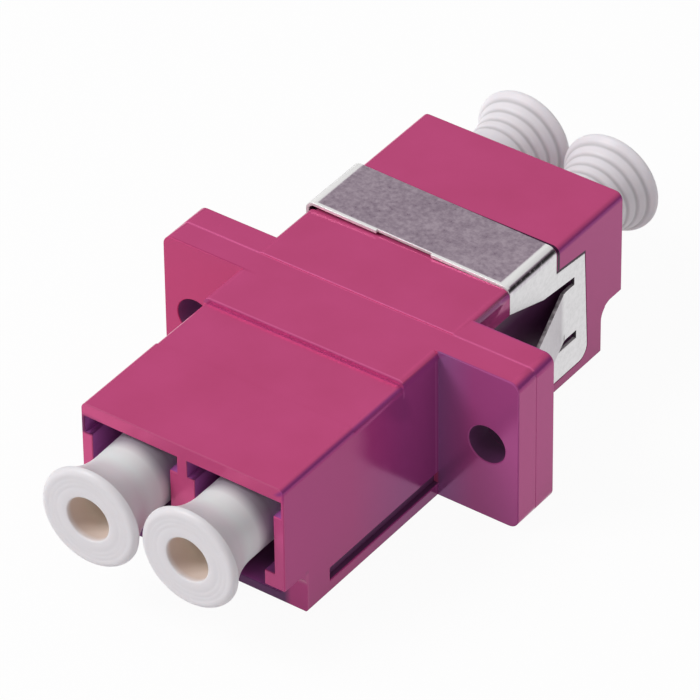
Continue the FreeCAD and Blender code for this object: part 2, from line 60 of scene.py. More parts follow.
def makeActive(piece):
    startClean()
    piece.select_set(True)
    bpy.context.view_layer.objects.active = piece


def selectVertices(piece, wanted):  # in edit mode, by place
    bpy.ops.mesh.select_all(action="DESELECT")
    bpy.ops.mesh.select_mode(type="VERT")
    bpy.ops.object.mode_set(mode="OBJECT")
    for vertex in piece.data.vertices:
        vertex.select = wanted(vertex.co)
    bpy.ops.object.mode_set(mode="EDIT")


def newMaterial(name):
    material = bpy.data.materials.new(name)
    material.use_nodes = True
    tree = material.node_tree
    shader = tree.nodes["Principled BSDF"]
    return material, tree, shader


def addNode(tree, kind, **settings):
    node = tree.nodes.new(kind)
    for key, value in settings.items():
        setattr(node, key, value)
    return node


def objectNoise(tree, scale, detail=3.0, roughness=0.5):
    place = addNode(tree, "ShaderNodeTexCoord")
    noise = addNode(tree, "ShaderNodeTexNoise")
    noise.inputs["Scale"].default_value = scale
    noise.inputs["Detail"].default_value = detail
    noise.inputs["Roughness"].default_value = roughness
    tree.links.new(place.outputs["Object"], noise.inputs["Vector"])
    return noise.outputs["Fac"]


def colourBetween(tree, fac, low, high, start=0.3, end=0.7):
    ramp = addNode(tree, "ShaderNodeValToRGB")
    ramp.color_ramp.elements[0].position = start
    ramp.color_ramp.elements[0].color = (*low, 1)
    ramp.color_ramp.elements[1].position = end
    ramp.color_ramp.elements[1].color = (*high, 1)
    tree.links.new(fac, ramp.inputs["Fac"])
    return ramp.outputs["Color"]


def valueBetween(tree, fac, low, high):
    spread = addNode(tree, "ShaderNodeMapRange")
    spread.inputs["From Min"].default_value = 0.3
    spread.inputs["From Max"].default_value = 0.7
    spread.inputs["To Min"].default_value = low
    spread.inputs["To Max"].default_value = high
    tree.links.new(fac, spread.inputs["Value"])
    return spread.outputs["Result"]


def calculate(tree, operation, first, second):
    node = addNode(tree, "ShaderNodeMath", operation=operation, use_clamp=operation == "MULTIPLY")
    for socket, value in zip(node.inputs, (first, second)):
        if isinstance(value, (int, float)):
            socket.default_value = value
        else:
            tree.links.new(value, socket)
    return node.outputs[0]


def rampUp(tree, value, start, end):
    spread = addNode(tree, "ShaderNodeMapRange")
    spread.inputs["From Min"].default_value = start
    spread.inputs["From Max"].default_value = end
    tree.links.new(value, spread.inputs["Value"])
    return spread.outputs["Result"]


def stripe(tree, value, low, high, soft):
    rising = rampUp(tree, value, low, low + soft)
    falling = rampUp(tree, value, high, high - soft)
    return calculate(tree, "MULTIPLY", rising, falling)


def mixColours(tree, fac, first, second):
    mix = addNode(tree, "ShaderNodeMix", data_type="RGBA")
    tree.links.new(fac, mix.inputs["Factor"])
    for name, value in (("A", first), ("B", second)):
        if isinstance(value, tuple):
            mix.inputs[name].default_value = (*value, 1)
        else:
            tree.links.new(value, mix.inputs[name])
    return mix.outputs["Result"]


def addBump(tree, shader, height, strength):
    bump = addNode(tree, "ShaderNodeBump")
    bump.inputs["Strength"].default_value = strength
    bump.inputs["Distance"].default_value = grainHeight
    tree.links.new(height, bump.inputs["Height"])
    tree.links.new(bump.outputs["Normal"], shader.inputs["Normal"])


paintedColours = {  # light and shade of the photo, by place
    "rearSide": (0.53, 0.078, 0.27),
    "side": (0.46, 0.032, 0.205),  # painted side shade: right side of the front half, and its flange wing
    "wing": (0.43, 0.080, 0.27),
    "leftWing": (0.545, 0.062, 0.192),  # painted shade on the front of the left flange wing
    "corner": (0.34, 0.12, 0.32),  # painted shade where the wing meets the body
    "nearWing": (0.35, 0.066, 0.265),
    "line": (0.50, 0.11, 0.34),
    "roundEdge": (0.35, 0.055, 0.25),  # painted shade on the long rounded edges at the top right
    "stepWall": (0.47, 0.065, 0.22),
    "paleEdge": (0.74, 0.13, 0.33),  # painted highlight on the weld seam and step
    "jamb": (0.19, 0.030, 0.12),  # painted shade at the left end of the front face, beside the slot
    "rightFront": (0.58, 0.080, 0.25),  # painted light at the right end of the front face
    "noseDark": (0.13, 0.035, 0.13),  # painted shade on the set back face under the ports
    "noseRight": (0.50, 0.060, 0.235),
    "shade": (0.05, 0.01, 0.04),  # beside the strip
}


housingLook = {
    "deep": (0.61, 0.082, 0.228),
    "light": (0.655, 0.092, 0.258),
    "roughness": (0.12, 0.18),
    "specular": 0.14,
    "dyeGlint": 0.2,  # share of the reflection that takes the colour of the dye
    "mottleScale": 260.0,
    "bump": 0.05,
    **paintedColours,
}


edgeLook = {  # the softened edges: a darker copy of the plastic, painted shade that tones down the light they catch
    "deep": (0.50, 0.078, 0.20),
    "light": (0.54, 0.086, 0.22),
    "roughness": (0.4, 0.5),
    "specular": 0.1,
    "dyeGlint": 0.0,
    "mottleScale": 260.0,
    "bump": 0.02,
    **paintedColours,
}


deepLook = {  # painted shade: a dark copy of the plastic inside the ports, the flange holes and the pockets behind the tabs
    "deep": (0.135, 0.042, 0.125),
    "light": (0.165, 0.050, 0.150),
    "roughness": (0.5, 0.6),
    "specular": 0.3,
    "dyeGlint": 0.0,
    "mottleScale": 260.0,
    "bump": 0.05,
    # painted light on the port walls near the mouth and in the left flange hole, and a grey sheen
    # on the pocket floor under the clip's slanted edge
    "portWall": (0.42, 0.095, 0.38),
    "leftHole": (0.27, 0.13, 0.28),
    "underStrip": (0.30, 0.28, 0.30),
}


paintSize = {  # mm; two values are start and end of a ramp, a third one is a stripe's soft width
    "sideX": (6.0, 6.15),
    "onFlange": (-1.47, 1.47, 0.05),
    "wingTopZ": (8.6, 8.8),
    "leftWingX": (-5.0, -6.4),
    "leftFrontY": (-1.62, -1.44, 0.02),
    "flangeFrontY": (-1.45, -1.51),
    "bodyFrontY": (-1.56, -1.6),
    "nearWingY": (-9.0, -4.5),
    "cornerLineY": (-1.9, -1.72, 0.06),
    "stepTickY": (-4.62, -4.44, 0.05),
    "stepTickZ": (8.0, 8.62, 0.2),
    "cornerX": (8.2, 6.2),
    "cornerY": (-1.7, -1.6),
    "flangeY": (-1.56, 1.56, 0.02),
    "bodyEdge": (-2.92, -2.42, 0.2),  # x less z
    "wingEdge": (1.6, 2.35, 0.3),  # x less z
    "edgeZ": (8.3, 8.5),
    "stepWallY": (-4.64, -4.52, 0.03),
    "stepWallZ": (8.7, 8.74),
    "topZ": (8.9, 8.94),
    "stepEdgeY": (-4.52, -4.42, 0.03),
    "seamY": (-0.09, 0.09, 0.03),
    "frontFaceY": (-14.5, -14.55),
    "underLintelZ": (8.3, 7.9),
    "jambX": (-4.5, -5.2),
    "jambZ": (6.95, 7.1),
    "rightX": (2.0, 5.5),
    "noseY": (-12.9, -12.6, 0.03),
    "noseX": (4.7, 5.1),
    "noseZ": (2.7, 2.4),
    "stripRearY": (8.68, 8.92, 0.04),
    "stripRearZ": (7.7, 7.8),
    "shoulderY": (8.6, 11.25, 0.03),
    "shoulderX": (6.0, 6.1),
    "shoulderFall": 0.09,
    "shoulderLine": (7.56, 7.80, 0.04),  # z along the falling edge
}


shadeSize = {  # mm, ramps
    "portWallY": (-11.0, -13.0),
    "leftHoleX": (-7.4, -7.6),
    "lipX": (5.0, 5.4),
    "lipY": (1.2, 1.4),
    "lipZ": (6.2, 7.6),
    "lipShare": 0.7,
}


def placeParts(tree):
    place = addNode(tree, "ShaderNodeTexCoord")
    parts = addNode(tree, "ShaderNodeSeparateXYZ")
    tree.links.new(place.outputs["Object"], parts.inputs[0])
    return tuple(calculate(tree, "DIVIDE", parts.outputs[name], mm) for name in "XYZ")


def overlap(tree, *shares):
    result = shares[0]
    for share in shares[1:]:
        result = calculate(tree, "MULTIPLY", result, share)
    return result


# paints the light and shade of paintedColours onto the housing colour, by place
def paintedLightAndShade(tree, colour, look):
    x, y, z = placeParts(tree)
    across = calculate(tree, "SUBTRACT", x, z)

    def within(value, name):
        limits = paintSize[name]
        return (stripe if len(limits) == 3 else rampUp)(tree, value, *limits)

    def paint(name, *shares):
        return mixColours(tree, overlap(tree, *shares), colour, look[name])

    onRight = within(x, "sideX")
    onFlange = within(y, "onFlange")
    colour = paint("rearSide", onRight)
    mottle = objectNoise(tree, look["mottleScale"], detail=4)
    plain = colourBetween(tree, mottle, look["deep"], look["light"])
    onWingTop = overlap(tree, onFlange, within(z, "wingTopZ"))
    colour = mixColours(tree, onWingTop, colour, plain)
    colour = paint("leftWing", within(y, "leftFrontY"), within(x, "leftWingX"))
    onSide = overlap(tree, onRight, within(y, "flangeFrontY"))
    colour = paint("wing", onSide)
    onBody = overlap(tree, onSide, within(y, "bodyFrontY"))
    colour = paint("side", onBody)
    colour = paint("nearWing", onBody, within(y, "nearWingY"))
    colour = paint("line", onBody, within(y, "cornerLineY"))
    colour = paint("line", onBody, within(y, "stepTickY"), within(z, "stepTickZ"))
    colour = paint("corner", onSide, within(x, "cornerX"), within(y, "cornerY"))
    offFlange = calculate(tree, "SUBTRACT", 1.0, within(y, "flangeY"))
    bodyEdge = overlap(tree, within(across, "bodyEdge"), offFlange)
    wingEdge = overlap(tree, within(across, "wingEdge"), onFlange)
    edges = calculate(tree, "MAXIMUM", bodyEdge, wingEdge)
    colour = paint("roundEdge", edges, within(z, "edgeZ"))
    colour = paint("stepWall", within(y, "stepWallY"), within(z, "stepWallZ"))
    pale = calculate(tree, "MAXIMUM", within(y, "stepEdgeY"), within(y, "seamY"))
    colour = paint("paleEdge", pale, within(z, "topZ"))
    onFront = within(y, "frontFaceY")
    low = within(z, "underLintelZ")
    colour = paint("jamb", onFront, within(x, "jambX"), within(z, "jambZ"), low)
    colour = paint("rightFront", onFront, within(x, "rightX"), low)
    onNose = overlap(tree, within(y, "noseY"), within(z, "noseZ"))
    colour = paint("noseDark", onNose)
    colour = paint("noseRight", onNose, within(x, "noseX"))
    colour = paint("shade", within(y, "stripRearY"), within(z, "stripRearZ"))
    run = calculate(tree, "SUBTRACT", y, paintSize["shoulderY"][0])
    fall = calculate(tree, "DIVIDE", run, 1 / paintSize["shoulderFall"])
    level = calculate(tree, "ADD", z, fall)
    return paint(
        "shade", within(level, "shoulderLine"), within(y, "shoulderY"), within(x, "shoulderX")
    )


# paints light back onto the dark plastic: lighter port walls near the mouth, a lighter left
# flange hole, and a grey sheen under the clip's edge
def shadedPlaces(tree, colour, look):
    x, y, z = placeParts(tree)
    size = shadeSize
    colour = mixColours(tree, rampUp(tree, y, *size["portWallY"]), colour, look["portWall"])
    colour = mixColours(tree, rampUp(tree, x, *size["leftHoleX"]), colour, look["leftHole"])
    # painted grey sheen on the pocket floor under the plate's slanted edge, stronger towards the
    # top
    lip = overlap(
        tree,
        rampUp(tree, z, *size["lipZ"]),
        rampUp(tree, y, *size["lipY"]),
        rampUp(tree, x, *size["lipX"]),
        size["lipShare"],
    )
    return mixColours(tree, lip, colour, look["underStrip"])


def colouredPlastic(name, look):
    material, tree, shader = newMaterial(name)
    mottle = objectNoise(tree, look["mottleScale"], detail=4)
    colour = colourBetween(tree, mottle, look["deep"], look["light"])
    if "side" in look:
        colour = paintedLightAndShade(tree, colour, look)
    if "portWall" in look:
        colour = shadedPlaces(tree, colour, look)
    tree.links.new(colour, shader.inputs["Base Color"])
    sheen = objectNoise(tree, look["mottleScale"] * 3, detail=2)
    tree.links.new(valueBetween(tree, sheen, *look["roughness"]), shader.inputs["Roughness"])
    shader.inputs["Specular IOR Level"].default_value = look["specular"]
    shader.inputs["Metallic"].default_value = look["dyeGlint"]
    addBump(tree, shader, sheen, look["bump"])
    return material


clipLook = {  # places in mm, "across" is the distance from the middle less the height; top and side colours, the bands across the bend, the front line and the tick are painted light and shade
    "dark": (0.56, 0.52, 0.57),
    "light": (0.80, 0.76, 0.80),
    "sideDark": (0.68, 0.67, 0.68),
    "sideLight": (0.80, 0.79, 0.80),
    "tab": (0.53, 0.50, 0.53),
    # painted highlight across the bend and along the front edge, a painted dark reflection in a
    # band across the bend, and a painted shadow tick at the lower slot
    "bright": (0.92, 0.92, 0.91),
    "darkShadeAndReflection": (0.10, 0.10, 0.10),
    "brightAcross": (-3.78, -3.12, 0.1),  # stripes: low, high, soft width
    "darkAcross": (-3.16, -2.68, 0.16),
    "tickY": (9.26, 9.42, 0.06),
    "tickZ": (2.9, 3.34, 0.1),
    "sideAcross": (-2.6, -2.5),  # ramps
    "topAcross": (-3.0, -3.1),
    "frontLineY": (4.72, 4.66),
    "tabOut": (6.3, 6.45),
    "speckle": (0.85, 0.55),
    "contrast": (0.38, 0.62),
    "fleckShare": 0.75,
    "cloudShare": 0.25,
    "roughness": (0.26, 0.42),
    "mottleScale": 3600.0,
    "cloudScale": 900.0,
    "bump": 0.25,
}


def clipSteel():
    material, tree, shader = newMaterial("mottledSteel")
    look = clipLook
    fleck = objectNoise(tree, look["mottleScale"], detail=4, roughness=0.7)
    cloud = objectNoise(tree, look["cloudScale"], detail=3)
    mottle = calculate(
        tree,
        "ADD",
        calculate(tree, "MULTIPLY", fleck, look["fleckShare"]),
        calculate(tree, "MULTIPLY", cloud, look["cloudShare"]),
    )
    x, y, z = placeParts(tree)
    outwards = calculate(tree, "ABSOLUTE", x, 0.0)
    across = calculate(tree, "SUBTRACT", outwards, z)
    brightBand = stripe(tree, across, *look["brightAcross"])
    darkBand = stripe(tree, across, *look["darkAcross"])
    onSide = rampUp(tree, across, *look["sideAcross"])
    onTop = rampUp(tree, across, *look["topAcross"])
    frontLine = overlap(tree, rampUp(tree, y, *look["frontLineY"]), onTop)
    speckled = overlap(tree, darkBand, rampUp(tree, fleck, *look["speckle"]))
    onTab = rampUp(tree, outwards, *look["tabOut"])
    tick = overlap(tree, stripe(tree, y, *look["tickY"]), stripe(tree, z, *look["tickZ"]), onSide)
    # top and side get lit and shaded copies of the steel colour: painted reflection
    top = colourBetween(tree, mottle, look["dark"], look["light"], *look["contrast"])
    side = colourBetween(tree, mottle, look["sideDark"], look["sideLight"], *look["contrast"])
    colour = mixColours(tree, onSide, top, side)
    colour = mixColours(tree, onTab, colour, look["tab"])
    colour = mixColours(tree, brightBand, colour, look["bright"])
    colour = mixColours(tree, speckled, colour, look["darkShadeAndReflection"])
    colour = mixColours(tree, frontLine, colour, look["bright"])
    colour = mixColours(tree, tick, colour, look["darkShadeAndReflection"])
    tree.links.new(colour, shader.inputs["Base Color"])
    tree.links.new(valueBetween(tree, mottle, *look["roughness"]), shader.inputs["Roughness"])
    # no metal where the highlights are painted
    painted = calculate(tree, "MAXIMUM", brightBand, frontLine)
    tree.links.new(calculate(tree, "SUBTRACT", 1.0, painted), shader.inputs["Metallic"])
    addBump(tree, shader, mottle, look["bump"])
    return material


cutLook = {  # sheared edges of the sheet
    "dark": (0.80, 0.80, 0.80),
    "light": (0.95, 0.95, 0.95),
    "roughness": 0.35,
    "metallic": 0.3,
    "grainScale": 2500.0,
}
roughLook = {  # torn edges of the tabs
    "dark": (0.16, 0.15, 0.16),
    "light": (0.72, 0.70, 0.71),
    "roughness": 0.5,
    "metallic": 0.3,
    "grainScale": 2500.0,
}
slotLook = {  # walls of the slots over and under the tabs, near black: painted shade
    "dark": (0.07, 0.06, 0.07),
    "light": (0.12, 0.10, 0.12),
    "roughness": 0.5,
    "metallic": 0.3,
    "grainScale": 2500.0,
}


def shearedSteel(name, look):
    material, tree, shader = newMaterial(name)
    grain = objectNoise(tree, look["grainScale"], detail=3)
    tree.links.new(
        colourBetween(tree, grain, look["dark"], look["light"]), shader.inputs["Base Color"]
    )
    shader.inputs["Roughness"].default_value = look["roughness"]
    shader.inputs["Metallic"].default_value = look["metallic"]
    return material


capLook = {  # places along y in mm; the groove, bore, neck and rear colours are painted light and shade
    "outside": (0.78, 0.76, 0.785),
    "groove": (0.64, 0.62, 0.64),
    "boreNear": (0.72, 0.59, 0.52),
    "boreDeep": (1.0, 0.87, 0.77),
    "neck": (0.82, 0.88, 0.87),
    "neckY": (-16.9, -10.0, 0.8),
    "mouthShade": (0.42, 0.38, 0.42),  # shade of the port's mouth, painted on the front caps
    "mouthY": (-15.25, -13.3, 0.7),
    "rear": (0.87, 0.845, 0.88),
    "rearY": (0.0, 2.0),
    "nearShare": (0.0, 0.15),
    "deepShare": (0.15, 0.65),
    "cloudScale": 500.0,
    "bump": 0.05,
    "roughness": (0.36, 0.5),
    "scatter": 0.6,
    "scatterRadius": (1.0, 0.9, 0.85),
    "scatterReach": 0.25,
}


def capPlastic():
    material, tree, shader = newMaterial("milkyPlastic")
    look = capLook
    deep = addNode(tree, "ShaderNodeAttribute", attribute_name="boreDepth")
    groove = addNode(tree, "ShaderNodeAttribute", attribute_name="grooveDepth")
    y = placeParts(tree)[1]
    # painted light and shade: lighter rear caps, a cooler tint on the front necks, the port's
    # shade, darker grooves, and a beige bore that grows lighter deeper in
    colour = mixColours(tree, rampUp(tree, y, *look["rearY"]), look["outside"], look["rear"])
    colour = mixColours(tree, stripe(tree, y, *look["neckY"]), colour, look["neck"])
    colour = mixColours(tree, stripe(tree, y, *look["mouthY"]), colour, look["mouthShade"])
    colour = mixColours(tree, groove.outputs["Fac"], colour, look["groove"])
    inside = deep.outputs["Fac"]
    colour = mixColours(tree, rampUp(tree, inside, *look["nearShare"]), colour, look["boreNear"])
    colour = mixColours(tree, rampUp(tree, inside, *look["deepShare"]), colour, look["boreDeep"])
    tree.links.new(colour, shader.inputs["Base Color"])
    cloud = objectNoise(tree, look["cloudScale"], detail=2)
    tree.links.new(valueBetween(tree, cloud, *look["roughness"]), shader.inputs["Roughness"])
    shader.inputs["Subsurface Weight"].default_value = look["scatter"]
    shader.inputs["Subsurface Radius"].default_value = look["scatterRadius"]
    shader.inputs["Subsurface Scale"].default_value = look["scatterReach"] * mm
    addBump(tree, shader, cloud, look["bump"])
    return material


ceramicLook = {
    "dark": (0.78, 0.77, 0.72),
    "light": (0.86, 0.85, 0.81),
    "roughness": 0.3,
    "grainScale": 2200.0,
}


def sleeveCeramic():
    material, tree, shader = newMaterial("groundCeramic")
    grain = objectNoise(tree, ceramicLook["grainScale"], detail=3)
    tree.links.new(
        colourBetween(tree, grain, ceramicLook["dark"], ceramicLook["light"]),
        shader.inputs["Base Color"],
    )
    shader.inputs["Roughness"].default_value = ceramicLook["roughness"]
    return material


plastic = colouredPlastic("magentaPlastic", housingLook)
deepPlastic = colouredPlastic("shadedPlastic", deepLook)
edgePlastic = colouredPlastic("softEdgePlastic", edgeLook)
steel = clipSteel()
cutSteel = shearedSteel("shearedSteel", cutLook)
roughSteel = shearedSteel("roughSteel", roughLook)
slotSteel = shearedSteel("slotSteel", slotLook)
milky = capPlastic()
ceramic = sleeveCeramic()
print("materials are ready")


bodySize = {  # mm, where the hidden faces of the housing and the clip lie
    "edges": {"front_housing": 0.06, "rear_housing": 0.06, "panel_clip": 0.03},
    "portPitch": 6.25,
    "slotWidth": 5.65,
    "portHeights": (0.4, 8.3),
    "mouth": 14.45,
    "noseRoot": 12.7,
    "noseFace": 12.75,
    "noseTop": 3.0,
    "holeX": 9.0,
    "holeZ": 4.56,
    "holeRadius": 1.14,
    "flange": 1.5,
    "mouldStep": -8.7,
    "collarStep": -4.55,
    "seatY": (1.56, 11.6),
    "seatZ": (0.58, 7.75),
    "trenchY": (4.4, 8.75),
    "softAngle": 35,
    "pocketX": (5.55, 5.99),
    "pocketY": (1.5, 10.4),
    "pocketZ": (2.3, 7.7),
    "plateX": 5.9,
    "bendZ": 8.9,
    "tabX": 6.3,
    "slotY": (9.3, 10.7),
    "slotZ": ((2.3, 3.05), (5.8, 6.55)),
    "portPlay": 0.01,
    "wallTurn": 0.7,
    "cutTurn": 0.6,
    "seatX": 5.6,
    "trenchDrop": 0.2,
    "near": 0.02,
    "collarTurn": 0.5,
    "noseTurn": 0.3,
    "noseNear": 0.3,
    "noseX": 6.0,
    "seamNear": 0.01,
    "seamWeight": 0.5,
    "merge": 0.0005,
    "flatAngle": 0.3,
    "smoothAngle": 32,
    "edgeSteps": 3,
}
edgeSlot = 2  # material number of the softened edges of the housing


# faces inside the ports, the flange holes and the tab pockets, which take the painted shade of
# the dark plastic
def isHidden(centre, normal):
    x, y, z = (abs(centre.x) / mm, abs(centre.y) / mm, centre.z / mm)
    size = bodySize
    inPort = abs(x - size["portPitch"] / 2) < size["slotWidth"] / 2 + size["portPlay"]
    low, high = size["portHeights"]
    onNose = z < size["noseTop"] and y > size["noseRoot"]
    if inPort and low < z < high and y < size["mouth"] and not onNose:
        return True
    inHole = math.hypot(x - size["holeX"], z - size["holeZ"]) < size["holeRadius"]
    if inHole and y < size["flange"] and abs(normal.y) < size["wallTurn"]:
        return True
    ranges = ((x, "pocketX"), (centre.y / mm, "pocketY"), (z, "pocketZ"))
    return all(size[name][0] < value < size[name][1] for value, name in ranges)


def isSheared(centre, normal):  # number of the clip's material
    size = bodySize
    x, y, z = (abs(centre.x) / mm, centre.y / mm, centre.z / mm)
    onPlate = x > size["plateX"] and z < size["bendZ"]
    turn = size["cutTurn"]
    if not (abs(normal.y) > turn or (onPlate and abs(normal.z) > turn)):
        return 0
    inSlot = size["slotY"][0] < y < size["slotY"][1]
    if inSlot and any(low < z < high for low, high in size["slotZ"]):
        return 3
    return 2 if x > size["tabX"] else 1


def staysSharp(middle, along):  # edges of the clip's seat and of low steps
    size = bodySize
    low, high = size["seatY"]
    inSeat = low < middle.y < high and abs(middle.x) > size["seatX"]
    if inSeat and size["seatZ"][0] < middle.z < size["seatZ"][1]:
        return True
    inTrench = size["trenchY"][0] < middle.y < size["trenchY"][1]
    if inTrench and middle.z > size["seatZ"][1] - size["trenchDrop"]:
        return True
    atCollar = abs(middle.y - size["collarStep"]) < size["near"]
    onCollar = atCollar and abs(along.z) > size["collarTurn"]
    atNose = abs(abs(middle.y) - size["noseFace"]) < size["noseNear"]
    onNose = atNose and middle.z < size["noseTop"]
    if onNose and abs(along.z) > size["noseTurn"] and abs(middle.x) > size["noseX"]:
        return True
    return onCollar or abs(middle.y - size["mouldStep"]) < size["near"]


def markEdges(piece, moulded):  # outer edges to be softened
    mesh = piece.data
    beside = {}
    for face in mesh.polygons:
        for corner in face.loop_indices:
            beside.setdefault(mesh.loops[corner].edge_index, []).append((face, corner))
    weights = mesh.attributes.new("bevel_weight_edge", "FLOAT", "EDGE")
    for edge in mesh.edges:
        if len(beside[edge.index]) != 2:
            continue
        (first, corner), (second, _) = beside[edge.index]
        start = mesh.loops[corner].vertex_index
        end = sum(edge.vertices) - start
        along = mesh.vertices[end].co - mesh.vertices[start].co
        middle = (mesh.vertices[end].co + mesh.vertices[start].co) / 2
        outer = first.normal.cross(second.normal).dot(along) > 0
        turned = first.normal.angle(second.normal) > math.radians(bodySize["softAngle"])
        both = isHidden(first.center, first.normal) and isHidden(second.center, second.normal)
        sharp = moulded and staysSharp(middle / mm, along.normalized())
        if outer and turned and not both and not sharp:
            onSeam = abs(middle.y) < bodySize["seamNear"] * mm
            weights.data[edge.index].value = bodySize["seamWeight"] if onSeam else 1.0


tabSize = {  # mm: height of each edge of the tab, and how far it moves
    "edges": ((6.13, -0.16), (2.76, 0.14)),
    "behind": 10.6,
    "near": 0.02,
}


def widenTabSlots(piece):
    behind, near = tabSize["behind"] * mm, tabSize["near"] * mm
    for height, shift in tabSize["edges"]:
        level = height * mm
        selectVertices(
            piece, lambda place: abs(place.z - level) < near and place.y < behind
        )
        bpy.ops.transform.translate(value=(0, 0, shift * mm))


def softenedCopy(nodeName, pieceName, materials, special, reshape):
    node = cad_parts[nodeName]
    piece = bpy.data.objects.new(pieceName, node.data.copy())
    bpy.context.scene.collection.objects.link(piece)
    makeActive(piece)
    bpy.ops.object.mode_set(mode="EDIT")
    bpy.ops.mesh.select_all(action="SELECT")
    bpy.ops.mesh.remove_doubles(threshold=bodySize["merge"] * mm)
    bpy.ops.mesh.dissolve_limited(angle_limit=math.radians(bodySize["flatAngle"]))
    if reshape:
        reshape(piece)
    bpy.ops.object.mode_set(mode="OBJECT")
    piece.data.materials.clear()
    for material in materials:
        piece.data.materials.append(material)
    moulded = nodeName != "panel_clip"
    markEdges(piece, moulded)
    bevel = piece.modifiers.new("softEdges", "BEVEL")
    bevel.width = bodySize["edges"][nodeName] * mm
    bevel.segments = bodySize["edgeSteps"]
    bevel.limit_method = "WEIGHT"
    bevel.use_clamp_overlap = False
    bevel.harden_normals = False
    bevel.material = edgeSlot if moulded else -1
    bpy.ops.object.modifier_apply(modifier="softEdges")
    bpy.ops.object.shade_smooth_by_angle(angle=math.radians(bodySize["smoothAngle"]))
    piece.modifiers.new("evenNormals", "WEIGHTED_NORMAL").keep_sharp = True
    bpy.ops.object.modifier_apply(modifier="evenNormals")
    for face in piece.data.polygons:
        kind = int(special(face.center, face.normal))
        onEdge = moulded and face.material_index == edgeSlot
        face.material_index = edgeSlot if onEdge and not kind else kind
    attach(piece, "housing")
    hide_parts(nodeName)
    return piece


housingMaterials = (plastic, deepPlastic, edgePlastic)
frontBody = softenedCopy("front_housing", "frontBody", housingMaterials, isHidden, None)
rearBody = softenedCopy("rear_housing", "rearBody", housingMaterials, isHidden, None)
clipMaterials = (steel, cutSteel, roughSteel, slotSteel)
foldedClip = softenedCopy("panel_clip", "foldedClip", clipMaterials, isSheared, widenTabSlots)
for nodeName in ("split_sleeve_left", "split_sleeve_right"):
    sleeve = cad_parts[nodeName]
    sleeve.data.materials.clear()
    sleeve.data.materials.append(ceramic)
print("housing, clip and sleeves are dressed")


capSize = {  # mm
    "length": 15.9,
    "neck": 2.0,
    "flare": 2.85,
    "frontFlare": 3.0,
    "rearFlare": 2.8,
    "frontRim": 0.34,
    "rearRim": 0.15,
    "rearLand": 0.24,
    "groovesAt": (0.10, 0.34, 0.58, 0.82),  # shares of the flare, from the neck
    "groove": 0.055,
    "grooveWidth": 0.075,  # half of it, as a share of the flare
    "rings": (1.85, 2.1, 2.34),
    "ringRise": 0.013,
    "hole": 1.25,
    "holeDepth": 5.5,
    "bore": 1.62,
    "boreDepth": 6.0,
    "nose": 0.25,
    "portPitch": 6.25,
    "axisHeight": 5.75,
    "sides": 96,
    "floorShare": 0.5,
    "holeSteps": 12,
    "holeLip": 0.08,
    "ringHalf": 0.05,
    "rimSteps": 8,
    "rearSteps": 60,
    "frontSteps": 18,
    "merge": 0.0001,
    "holeSlack": 0.012,
    "floorSlack": 0.1,
    "shadeDepth": 2.4,
    "smoothAngle": 35,
}
capSeats = {  # node: side, towards, end face from the weld plane, lean in degrees
    "dust_cap_front_left": (-1, -1, 18.7, 1.55),
    "dust_cap_front_right": (1, -1, 18.4, 0.05),
    "dust_cap_rear_left": (-1, 1, 19.6, -0.25),
    "dust_cap_rear_right": (1, 1, 19.0, 1.6),
}


def flareArc(length, land, rise):
    reach = length - land
    bend = (reach**2 + rise**2) / (2 * rise)
    return reach, bend, math.asin(reach / bend)


def holePoints():
    size = capSize
    floor = size["length"] - size["holeDepth"]
    points = [(size["hole"] * size["floorShare"], floor), (size["hole"], floor)]
    for step in range(1, size["holeSteps"]):
        points.append((size["hole"], floor + size["holeDepth"] * step / size["holeSteps"]))
    for angle in (0, 30, 60, 90):
        turn = math.radians(angle)
        outwards = size["holeLip"] * (1 - math.cos(turn))
        inwards = size["holeLip"] * (1 - math.sin(turn))
        points.append((size["hole"] + outwards, size["length"] - inwards))
    return points


def rimPoints(rim, ringed):
    size = capSize
    points = []
    if not ringed:
        for ring in size["rings"]:
            half = size["ringHalf"]
            for across, rise in ((-half, 0), (0, -size["ringRise"]), (half, 0)):
                points.append((ring + across, size["length"] + rise))
    for step in range(size["rimSteps"] + 1):
        angle = math.radians(90 - 90 * step / size["rimSteps"])
        points.append(
            (
                size["flare"] - rim + rim * math.cos(angle),
                size["length"] - rim + rim * math.sin(angle),
            )
        )
    return points


def grooveShare(share):  # 1 in the middle of a groove, 0 on the bands
    apart = min(abs(share - place) for place in capSize["groovesAt"]) / capSize["grooveWidth"]
    return (1 + math.cos(math.pi * apart)) / 2 if apart < 1 else 0.0


def flarePoints(ringed):
    size = capSize
    length = size["rearFlare"] if ringed else size["frontFlare"]
    land = size["rearLand"] if ringed else size["frontRim"]
    reach, bend, sweep = flareArc(length, land, size["flare"] - size["neck"])
    start = size["length"] - length
    points = []
    steps = size["rearSteps"] if ringed else size["frontSteps"]
    for step in range(1, steps + 1):
        share = 1 - step / steps
        angle = sweep * share
        groove = size["groove"] * grooveShare(share) if ringed else 0.0
        points.append(
            (
                size["neck"] + bend * (1 - math.cos(angle)) - groove * math.cos(angle),
                start + bend * math.sin(angle) + groove * math.sin(angle),
            )
        )
    for share in (0.75, 0.5, 0.25):
        points.append((size["neck"], size["nose"] + (start - size["nose"]) * share))
    return points


def capProfile(ringed):
    size = capSize
    return [
        *holePoints(),
        *rimPoints(size["rearRim"] if ringed else size["frontRim"], ringed),
        *flarePoints(ringed),
        (size["neck"], size["nose"]),
        (size["neck"] - size["nose"] / 2, 0),
        (size["bore"], 0),
        (size["bore"], size["boreDepth"]),
        (size["bore"] * size["floorShare"], size["boreDepth"]),
    ]


def extrudeToRing(radius, along, lastRadius, lastAlong):
    bpy.ops.mesh.extrude_region_move(
        TRANSFORM_OT_translate={"value": (0, (along - lastAlong) * mm, 0)}
    )
    if abs(radius - lastRadius) > 1e-6:
        factor = radius / lastRadius
        bpy.ops.transform.resize(
            value=(factor, 1, factor), center_override=(0, along * mm, 0)
        )


